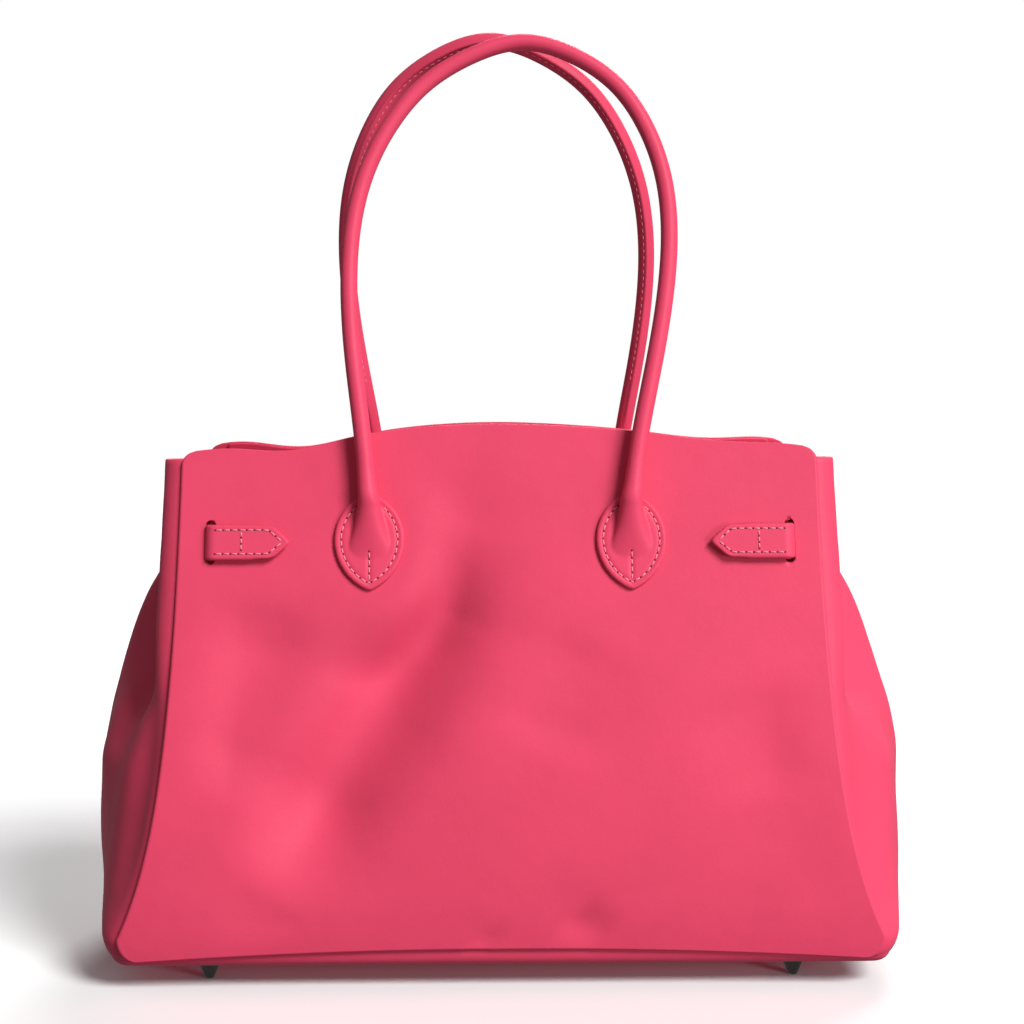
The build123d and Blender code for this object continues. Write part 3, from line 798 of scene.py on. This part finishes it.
def tube_mesh(line, side, radius, ring=24):
    """A closed round tube along a line, as vertices and faces."""
    _, seam, across = line_frames(line, side)
    verts = []
    for p, a, b in zip(line, seam, across):
        for k in range(ring):
            angle = 2 * math.pi * k / ring
            verts.append(p + radius * (math.cos(angle) * a + math.sin(angle) * b))
    return verts, ring_faces(len(line), ring)


def leaf_side(v):
    """Half width of a leaf-shaped pad, v metres above its widest line."""
    reach = PAD_UP if v >= 0 else PAD_DOWN
    radius = (PAD_HALF**2 + reach**2) / (2 * PAD_HALF)
    wide = PAD_HALF - radius + np.sqrt(np.maximum(radius**2 - v**2, 0))
    return max(float(wide), 0.0)


def leaf_outline(inset, count=160):
    """Points (u, v) round a leaf, inset from its edge, with a rounded lower tip."""
    fine = []
    for v in np.linspace(-PAD_DOWN + 0.0002, PAD_UP - 0.0004, 90):
        fine.append((leaf_side(v), v))
    right = np.array(fine)
    outline = np.concatenate([right, right[::-1] * [-1, 1]])
    closed = np.concatenate([outline, outline[:1]])
    run = np.concatenate([[0], np.cumsum(np.linalg.norm(np.diff(closed, axis=0), axis=1))])
    want = np.linspace(0, run[-1], count, endpoint=False)
    line = np.stack([np.interp(want, run, closed[:, k]) for k in range(2)], 1)
    d = np.roll(line, -2, 0) - np.roll(line, 2, 0)
    d /= np.linalg.norm(d, axis=1, keepdims=True)
    inner = line + np.stack([-d[:, 1], d[:, 0]], 1) * inset
    for _ in range(2):
        inner = (np.roll(inner, 1, 0) + 2 * inner + np.roll(inner, -1, 0)) / 4
    return inner


def on_face(side, x, v, lift):
    """A point on the sloping face near a pad, v metres up the slope from PAD_Z."""
    z = PAD_Z + v * SLANT
    y = float(half_depth(z)) + lift * SLANT
    return np.array([x, side * y, z + lift * (SLOPE * SLANT)])


def pad_mesh(side, centre):
    """A leaf-shaped slab whose edge is rounded over."""
    layers = ((0.0, 0.0), (0.0, PAD_THICK * 0.55), (0.00025, PAD_THICK * 0.8), (0.0009, PAD_THICK))
    verts, count = [], 160
    for inset, lift in layers:
        for u, v in leaf_outline(inset, count):
            verts.append(on_face(side, centre + u, v, 0.0001 + lift))
    return verts, ring_faces(len(layers), count)


def stub_mesh(side, centre, line, ring=32):
    """The flare that grows out of a pad into the tube."""
    rows = np.linspace(STUB[0][0], STUB[-1][0], 40)
    table = np.array(STUB)
    wide, deep, off = (spline(table[:, 0], table[:, k], rows) for k in (1, 2, 3))
    leg = line[: len(line) // 2] if centre < 0 else line[len(line) // 2:][::-1]
    verts = []
    for z, w, d, o in zip(rows, wide, deep, off):
        x = float(np.interp(z, leg[:, 2], leg[:, 0]))
        join = float(smooth((z - 0.232) / 0.012))
        y_tube = abs(float(np.interp(z, leg[:, 2], leg[:, 1])))
        y = (float(half_depth(z)) + o) * (1 - join) + y_tube * join
        x = centre * (1 - join) + x * join
        for k in range(ring):
            angle = 2 * math.pi * k / ring
            verts.append((x + w * math.cos(angle), side * (y + d * math.sin(angle)), z))
    return verts, ring_faces(len(rows), ring)


def joined(name, parts):
    """One mesh object out of several (verts, faces)."""
    verts, faces = [], []
    for part_verts, part_faces in parts:
        start = len(verts)
        verts += list(part_verts)
        faces += [tuple(start + k for k in face) for face in part_faces]
    return new_object(name, verts, faces)


def relax(obj, rounds, keep=0.5, shrink_back=-0.53):
    """Smooths a mesh without shrinking it, by steps out and back."""
    mesh = obj.data
    co = np.empty(len(mesh.vertices) * 3)
    mesh.vertices.foreach_get("co", co)
    co = co.reshape(-1, 3)
    edges = np.empty(len(mesh.edges) * 2, dtype=np.int64)
    mesh.edges.foreach_get("vertices", edges)
    a, b = edges.reshape(-1, 2).T
    degree = np.bincount(np.concatenate([a, b]), minlength=len(co))[:, None]
    for _ in range(rounds):
        for factor in (keep, shrink_back):
            total = np.zeros_like(co)
            for k in range(3):
                total[:, k] = np.bincount(a, co[b, k], len(co)) + np.bincount(b, co[a, k], len(co))
            co = co + factor * (total / np.maximum(degree, 1) - co)
    return co


def nearest_on(line, points, chunk=4000):
    """Index of the nearest line point for each point."""
    found = []
    for start in range(0, len(points), chunk):
        part = points[start:start + chunk]
        found.append(((part[:, None, :] - line[None, :, :]) ** 2).sum(2).argmin(1))
    return np.concatenate(found)


def make_handle(which):
    """One skin for a handle's two pads, their flares and the rolled tube with its sewn ridge."""
    side = HANDLES[which][0]
    line = handle_line(which)
    high = line[line[:, 2] > 0.247]
    parts = [tube_mesh(high[::2], side, TUBE_R)]
    for centre in (-PAD_X, PAD_X):
        parts.append(pad_mesh(side, centre))
        parts.append(stub_mesh(side, centre, line))
    obj = joined(f"{which}_handle_leather", parts)
    recalc(obj)
    remesh = obj.modifiers.new("skin", "REMESH")
    remesh.mode = "VOXEL"
    remesh.voxel_size = 0.00062
    remesh.use_smooth_shade = True
    apply_modifiers(obj)
    co = relax(obj, 14)
    tube = co[:, 2] > 0.250
    t, seam, across = line_frames(line, side)
    near = nearest_on(line, co[tube])
    away = co[tube] - line[near]
    along_seam = (away * seam[near]).sum(1)
    along_side = (away * across[near]).sum(1)
    angle = np.arctan2(along_side, along_seam)
    ridge = smooth((co[tube][:, 2] - 0.262) / 0.02)
    radius = TUBE_R + ridge * (0.0008 * bump(angle, 0.20) + 0.0003 * bump(angle, 0.6))
    forward = (away * t[near]).sum(1)[:, None] * t[near]
    target = line[near] + forward + radius[:, None] * (
        np.cos(angle)[:, None] * seam[near] + np.sin(angle)[:, None] * across[near]
    )
    share = smooth((co[tube][:, 2] - 0.250) / 0.012)[:, None]
    co[tube] = co[tube] * (1 - share) + target * share
    for centre in (-PAD_X, PAD_X):  # the seam sinks into each pad, and its middle is pinched
        groove = leaf_outline(SEAM_INSET)
        seam_points = np.array([on_face(side, centre + u, v, PAD_THICK) for u, v in groove])
        row = np.array([on_face(side, centre, v, PAD_THICK) for v in np.linspace(-0.0205, -0.006, 30)])
        part = (np.abs(co[:, 0] - centre) < 0.020) & (co[:, 2] < 0.243)
        points = co[part]
        for target_line, width, depth in ((seam_points, 0.0009, 0.00045), (row, 0.0011, 0.00050)):
            index = nearest_on(target_line, points)
            away = np.linalg.norm(points - target_line[index], axis=1)
            sink = depth * bump(away, width)
            points = points + sink[:, None] * np.array([0.0, -side * SLANT, -SLOPE * SLANT])
        co[part] = points
    obj.data.vertices.foreach_set("co", co.ravel())
    obj.data.update()
    nodes = [f"{which}_{leg}_handle_end" for leg in ("left", "right")]
    fitted(obj, skin, "leather", None, *nodes, f"{which}_handle_sleeve", f"{which}_handle_core")
    return obj, line


# ------------------------------------------------------------------------ stitches
PITCH = 0.0037
THREAD_R = 0.00036


def capsule(a, b, up, radius, ring=8):
    """A thread between two holes: a round bar that dives into the leather at both ends."""
    a, b = np.asarray(a, float), np.asarray(b, float)
    d = b - a
    length = np.linalg.norm(d)
    d = d / length
    side = np.cross(d, up)
    side /= np.linalg.norm(side)
    up = np.cross(side, d)
    verts = []
    stations = (0.0, 0.06, 0.2, 0.5, 0.8, 0.94, 1.0)
    for s in stations:
        lift = radius * (1.5 * math.sin(math.pi * min(max(s, 0.0), 1.0)) ** 0.5 - 0.9)
        thick = radius * (0.45 + 0.55 * math.sin(math.pi * s) ** 0.4 if 0 < s < 1 else 0.40)
        for k in range(ring):
            angle = 2 * math.pi * k / ring
            offset = thick * (math.cos(angle) * side + math.sin(angle) * up)
            verts.append(a + d * length * s + up * lift + offset)
    return verts, ring_faces(len(stations), ring)


def hole_shade_disc(p, up, radius, ring=10):
    """The painted shade of one of the needle holes: a thin dark round button set almost flush."""
    up = np.asarray(up, float)
    side = np.cross(up, [1.0, 0.0, 0.0])
    if np.linalg.norm(side) < 0.1:
        side = np.cross(up, [0.0, 1.0, 0.0])
    side /= np.linalg.norm(side)
    other = np.cross(up, side)
    verts = []
    for scale, lift in ((1.0, -0.00020), (1.0, 0.00005), (0.6, 0.00012)):
        for k in range(ring):
            angle = 2 * math.pi * k / ring
            offset = radius * scale * (math.cos(angle) * side + math.sin(angle) * other)
            verts.append(p + offset + up * lift)
    return verts, ring_faces(3, ring)


def surface_tree(obj):
    """A finder of points on an object's surface."""
    mesh = obj.data
    co = np.empty(len(mesh.vertices) * 3)
    mesh.vertices.foreach_get("co", co)
    co = co.reshape(-1, 3)
    return BVHTree.FromPolygons([tuple(v) for v in co], [tuple(p.vertices) for p in mesh.polygons])


def sewn_row(tree, path, look, threads, holes, pitch=PITCH, radius=THREAD_R, start=0.0):
    """Stitches along path, dropped on the tree's surface against the direction look."""
    path = np.asarray(path, float)
    run = np.concatenate([[0], np.cumsum(np.linalg.norm(np.diff(path, axis=0), axis=1))])
    count = max(1, int(round((run[-1] - start) / pitch)))
    step = (run[-1] - start) / count
    look = np.asarray(look, float)

    def drop(s):
        p = np.array([np.interp(s, run, path[:, k]) for k in range(3)])
        found, normal, _, _ = tree.ray_cast(Vector(p + look * 0.006), Vector(-look), 0.014)
        if found is None:
            return None, None
        return np.array(found), np.array(normal)

    for k in range(count):
        a, na = drop(start + step * (k + 0.14))
        b, nb = drop(start + step * (k + 0.86))
        h, nh = drop(start + step * k)
        if a is not None and b is not None:
            up = na + nb
            threads.append(capsule(a, b, up / np.linalg.norm(up), radius))
        # a dark disc of painted shade at the needle holes
        if h is not None:
            holes.append(hole_shade_disc(h, nh, radius * 1.5))


def stitch_pieces(name, threads, holes, body="bag"):
    """The thread of some seams, and dark discs of painted shade at their needle holes, as two pieces."""
    thread = recalc(joined(f"{name}_stitches", threads))
    fitted(thread, thread_mat, "thread", body)
    # dark discs of painted shade at the needle holes
    shade_discs = recalc(joined(f"{name}_needle_hole_painted_shades", holes))
    fitted(shade_discs, hole_shade_mat, "leather", body)
    return thread, shade_discs


def sew_pads(which, obj, side):
    tree = surface_tree(obj)
    look = np.array([0.0, side * SLANT, SLOPE * SLANT])
    threads, holes = [], []
    for centre in (-PAD_X, PAD_X):
        outline = leaf_outline(SEAM_INSET, 400)
        shown = (np.abs(outline[:, 0]) > UNDER_TUBE) | (outline[:, 1] < 0)
        order = np.roll(np.arange(len(outline)), -int(np.argmax(~shown)))
        points = [on_face(side, centre + u, v, PAD_THICK) for u, v in outline[order][shown[order]]]
        sewn_row(tree, points, look, threads, holes)
        row = [on_face(side, centre, v, PAD_THICK) for v in (-0.0062, -0.0205)]
        sewn_row(tree, row, look, threads, holes, pitch=0.0034)
    stitch_pieces(f"{which}_handle_pad", threads, holes)


def sew_handle_seam(which, line, side):
    """A fine row beside the ridge of the rolled leather."""
    t, seam, across = line_frames(line, side)
    keep = line[:, 2] > 0.2935  # the row runs only above this height
    points, normals = [], []
    for p, a, b in zip(line[keep], seam[keep], across[keep]):
        angle = 0.36
        n = math.cos(angle) * a + math.sin(angle) * b
        points.append(p + n * (TUBE_R + 0.00020))
        normals.append(n)
    points, normals = np.array(points), np.array(normals)
    run = np.concatenate([[0], np.cumsum(np.linalg.norm(np.diff(points, axis=0), axis=1))])
    count = int(run[-1] / PITCH)
    threads = []
    for k in range(count):
        ends = []
        for s in (k + 0.15, k + 0.80):
            ends.append(np.array([np.interp(s * PITCH, run, points[:, c]) for c in range(3)]))
        up = np.array([np.interp((k + 0.5) * PITCH, run, normals[:, c]) for c in range(3)])
        threads.append(capsule(ends[0], ends[1], up / np.linalg.norm(up), 0.00021, ring=6))
    piece = recalc(joined(f"{which}_handle_seam_stitches", threads))
    fitted(piece, thread_mat, "thread", f"{which}_handle")


def sew_tabs():
    for sign, name in ((-1, "left"), (1, "right")):
        tree = surface_tree(straps[name])
        for side, where in ((-1, "front"), (1, "back")):
            look = np.array([0.0, side * SLANT, SLOPE * SLANT])
            threads, holes = [], []
            inset, half = 0.0028, STRAP_WIDE / 2 - 0.0028
            tip = TAB_LENGTH - inset * 1.25
            shoulder = TAB_LENGTH - TAB_POINT - inset * 0.4

            def spot(d, t):
                z = STRAP_Z + t * SLANT
                y = side * (float(half_depth(z)) + STRAP_THICK)
                return (sign * (STRAP_X - d), y, z)

            for flank in (-1, 1):
                row = [spot(0.0030, flank * half), spot(shoulder, flank * half), spot(tip, 0.0003 * flank)]
                sewn_row(tree, row, look, threads, holes)
            cross = [spot(0.0157, -half + 0.0018), spot(0.0157, half - 0.0006)]
            sewn_row(tree, cross, look, threads, holes, pitch=0.0034)
            stitch_pieces(f"{where}_{name}_tab", threads, holes)


def make_handles():
    for which in ("front", "back"):
        side = HANDLES[which][0]
        obj, line = make_handle(which)
        sew_pads(which, obj, side)
        sew_handle_seam(which, line, side)
        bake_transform(obj)


make_handles()
sew_tabs()

# --------------------------------------------------------------- base and the inside
def make_inside():
    """The floor's lining, then the base leather under it and the slip pocket."""
    low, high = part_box("base_lining")
    half_x, half_y, radius = 0.1882, 0.0822, 0.0090  # fills the base leather's upturned rim
    u = (2 * spaced(90, 0.6) - 1)[None, :]
    v = (2 * spaced(50, 0.6) - 1)[:, None]
    y = v * half_y
    past = np.clip(np.abs(y) - (half_y - radius), 0, radius)
    x = u * (half_x - radius + np.sqrt(radius**2 - past**2))
    wave = 0.0004 * np.sin(40 * x + 23 * y) * np.sin(31 * y - 12 * x)
    z = high.z + 0.0002 + wave * smooth((1 - np.abs(u)) / 0.1) * smooth((1 - np.abs(v)) / 0.1)
    grid = np.stack(np.broadcast_arrays(x, y, z), 2)
    floor_cloth = sheet_shell("floor_lining", grid, CLOTH, flip=False)
    fitted(floor_cloth, suede, "lining", "bag", "base_lining")

    make_base_leather()
    make_pocket()


def rim_steps(flat, middle):
    """-1 to 1: even steps over the flat middle, and twelve finer ones over each rim."""
    rim = np.linspace(flat, 1, 13)
    return np.concatenate([-rim[::-1], np.linspace(-flat, flat, middle)[1:-1], rim])


def make_base_leather():
    """The base: a flat sheet whose edge turns up inside the panels and gussets."""
    turn, corner, wall = 0.0065, 0.011, 0.0030
    half = np.array([0.1905 - turn, 0.0845 - turn])  # meets the inner faces of the panels and gussets
    limit = half - (corner - turn)
    flat = 0.90  # share of the grid that lies flat; the rest turns up into a low rim
    grid = np.zeros((70, 130, 3))
    for i, v_at in enumerate(rim_steps(flat, 46)):
        for j, u_at in enumerate(rim_steps(flat, 106)):
            level = max(abs(u_at), abs(v_at), 1e-6)
            q = np.array([u_at, v_at]) / level * half
            core = np.clip(q, -limit, limit)
            d = (q - core) / np.linalg.norm(q - core)
            point = core + d * (corner - turn)
            rise = 0.0
            if level <= flat:
                point = point * (level / flat)
            else:
                run = (level - flat) / (1 - flat) * (turn * math.pi / 2 + wall)
                angle = min(run / turn, math.pi / 2)
                point = point + d * turn * math.sin(angle)
                rise = turn * (1 - math.cos(angle)) + max(0.0, run - turn * math.pi / 2)
            grid[i, j] = (point[0], point[1], base_low.z + 0.0002 + rise)
    tray = sheet_shell("base_leather", grid, LEATHER, flip=False)
    fitted(tray, skin, "leather", "bag", "base_panel")


def make_pocket():
    """The slip pocket on the back wall's lining, with its hem and its stitches."""
    low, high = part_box("slip_pocket")
    half, hem = high.x, 0.009
    u = np.linspace(-1, 1, 90)[None, :]
    v = np.linspace(0, 1, 60)[:, None]
    x = u * (half - 0.0005)
    corner = 0.008 * (1 - np.sqrt(1 - np.clip((np.abs(x) - half + 0.008) / 0.008, 0, 1) ** 2))
    foot = low.z + corner
    top = high.z - 0.0012 * np.cos(math.pi * x / (2 * half)) - 0.0005
    z = foot + v * (top - foot)
    folded = 0.0009 * smooth((z - (high.z - hem)) / 0.0012)
    slack = 0.0012 * bump(z - high.z, 0.03) * bump(x, 0.05)
    depth = 0.0056 - folded - slack
    y = wall_y(x, z, depth + 0.0016, 1)
    grid = np.stack(np.broadcast_arrays(x, y, z), 2)
    pocket = sheet_shell("slip_pocket_cloth", grid[:, ::-1], 0.0012, flip=False)
    fitted(pocket, suede, "lining", "bag", "slip_pocket")
    tree = surface_tree(pocket)
    threads, holes = [], []
    look = np.array([0.0, -1.0, 0.0])

    def on_pocket(x_at, z_at):
        return (x_at, float(wall_y(x_at, z_at, 0.0075, 1)), z_at)

    edge = half - 0.003
    u_shape = [on_pocket(-edge, z_at) for z_at in np.linspace(high.z - 0.002, low.z + 0.008, 30)]
    u_shape += [on_pocket(x_at, low.z + 0.004) for x_at in np.linspace(-edge + 0.005, edge - 0.005, 40)]
    u_shape += [on_pocket(edge, z_at) for z_at in np.linspace(low.z + 0.008, high.z - 0.002, 30)]
    sewn_row(tree, u_shape, look, threads, holes)
    hem_row = [on_pocket(x_at, high.z - hem - 0.001) for x_at in np.linspace(-edge + 0.004, edge - 0.004, 40)]
    sewn_row(tree, hem_row, look, threads, holes)
    stitch_pieces("slip_pocket", threads, holes)


make_inside()
for node in ("base_board", "handle_patches"):
    paint(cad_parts[node], board_mat)
for node in ("stud_washers", "front_left_stud", "front_right_stud", "back_left_stud", "back_right_stud"):
    paint(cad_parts[node], metal)

# ------------------------------------------------------------------ floor and light
floor = new_object("floor", [(-6, -6, 0), (6, -6, 0), (6, 6, 0), (-6, 6, 0)], [(0, 1, 2, 3)])
floor_mat, _, _, floor_shader = material("pale_floor")
floor_shader.inputs["Base Color"].default_value = (0.93, 0.93, 0.93, 1)
floor_shader.inputs["Roughness"].default_value = 0.9
floor.data.materials.append(floor_mat)
floor.visible_diffuse = False  # the white floor does not light the bag's shaded side
floor.visible_glossy = False

FILL_LIGHT = 0.20  # the white room seen by the bag; the camera sees it at full white


def white_room():
    world = bpy.data.worlds.new("studio")
    world.use_nodes = True
    nodes, links = world.node_tree.nodes, world.node_tree.links
    seen = nodes["Background"]
    seen.inputs["Color"].default_value = (1, 1, 1, 1)
    seen.inputs["Strength"].default_value = 1.0
    felt = nodes.new("ShaderNodeBackground")
    felt.inputs["Color"].default_value = (1, 1, 1, 1)
    felt.inputs["Strength"].default_value = FILL_LIGHT
    mix = nodes.new("ShaderNodeMixShader")
    path = nodes.new("ShaderNodeLightPath")
    links.new(path.outputs["Is Camera Ray"], mix.inputs["Fac"])
    links.new(felt.outputs["Background"], mix.inputs[1])
    links.new(seen.outputs["Background"], mix.inputs[2])
    links.new(mix.outputs["Shader"], nodes["World Output"].inputs["Surface"])
    bpy.context.scene.world = world


white_room()


def sun_light(name, turn, height, strength, spread):
    """A broad even light from turn degrees (0 is the front, 90 the right) and height degrees up."""
    light = bpy.data.lights.new(name, "SUN")
    light.energy = strength
    light.angle = math.radians(spread)
    obj = bpy.data.objects.new(name, light)
    a, e = math.radians(turn), math.radians(height)
    towards = Vector((math.sin(a) * math.cos(e), -math.cos(a) * math.cos(e), math.sin(e)))
    obj.rotation_mode = "QUATERNION"
    obj.rotation_quaternion = towards.to_track_quat("Z", "Y")
    bpy.context.scene.collection.objects.link(obj)
    return obj


def area_light(name, place, aim, size, power):
    light = bpy.data.lights.new(name, "AREA")
    light.shape = "RECTANGLE"
    light.size, light.size_y = size
    light.energy = power
    obj = bpy.data.objects.new(name, light)
    obj.location = place
    obj.rotation_mode = "QUATERNION"
    obj.rotation_quaternion = (Vector(aim) - Vector(place)).to_track_quat("-Z", "Y")
    bpy.context.scene.collection.objects.link(obj)
    return obj


sun_light("key", 41, 38, 3.6, 24)
area_light("near_right", (0.95, -1.0, 0.20), (0.05, 0, 0.2), (0.4, 0.4), 5.6)
sun_light("back_light", 165, 40, 1.7, 30)
bpy.context.scene.view_settings.view_transform = "Standard"
bpy.context.scene.view_settings.look = "None"

# ------------------------------------------------------------------------- camera
VIEW_TURN = 0.456  # degrees the camera stands to the bag's left
VIEW_DISTANCE = 1.050
VIEW_HEIGHT = 0.290
VIEW_DOWN = 1.764
VIEW_PAN = 0.363
VIEW_ROLL = 0.154
camera = bpy.data.cameras.new("camera")
camera.lens = 70.77
camera.shift_y = -0.0586  # the picture is framed a little below the level of the lens
camera.sensor_width = 36.0
camera_obj = bpy.data.objects.new("camera", camera)
turn = math.radians(VIEW_TURN)
camera_obj.location = (-VIEW_DISTANCE * math.sin(turn), -VIEW_DISTANCE * math.cos(turn), VIEW_HEIGHT)
look = Euler((math.radians(90 - VIEW_DOWN), 0, -math.radians(VIEW_TURN + VIEW_PAN)), "XYZ")
tilt = Euler((0, 0, -math.radians(VIEW_ROLL)), "XYZ")
camera_obj.rotation_mode = "QUATERNION"
camera_obj.rotation_quaternion = look.to_quaternion() @ tilt.to_quaternion()
bpy.context.scene.collection.objects.link(camera_obj)
bpy.context.scene.camera = camera_obj
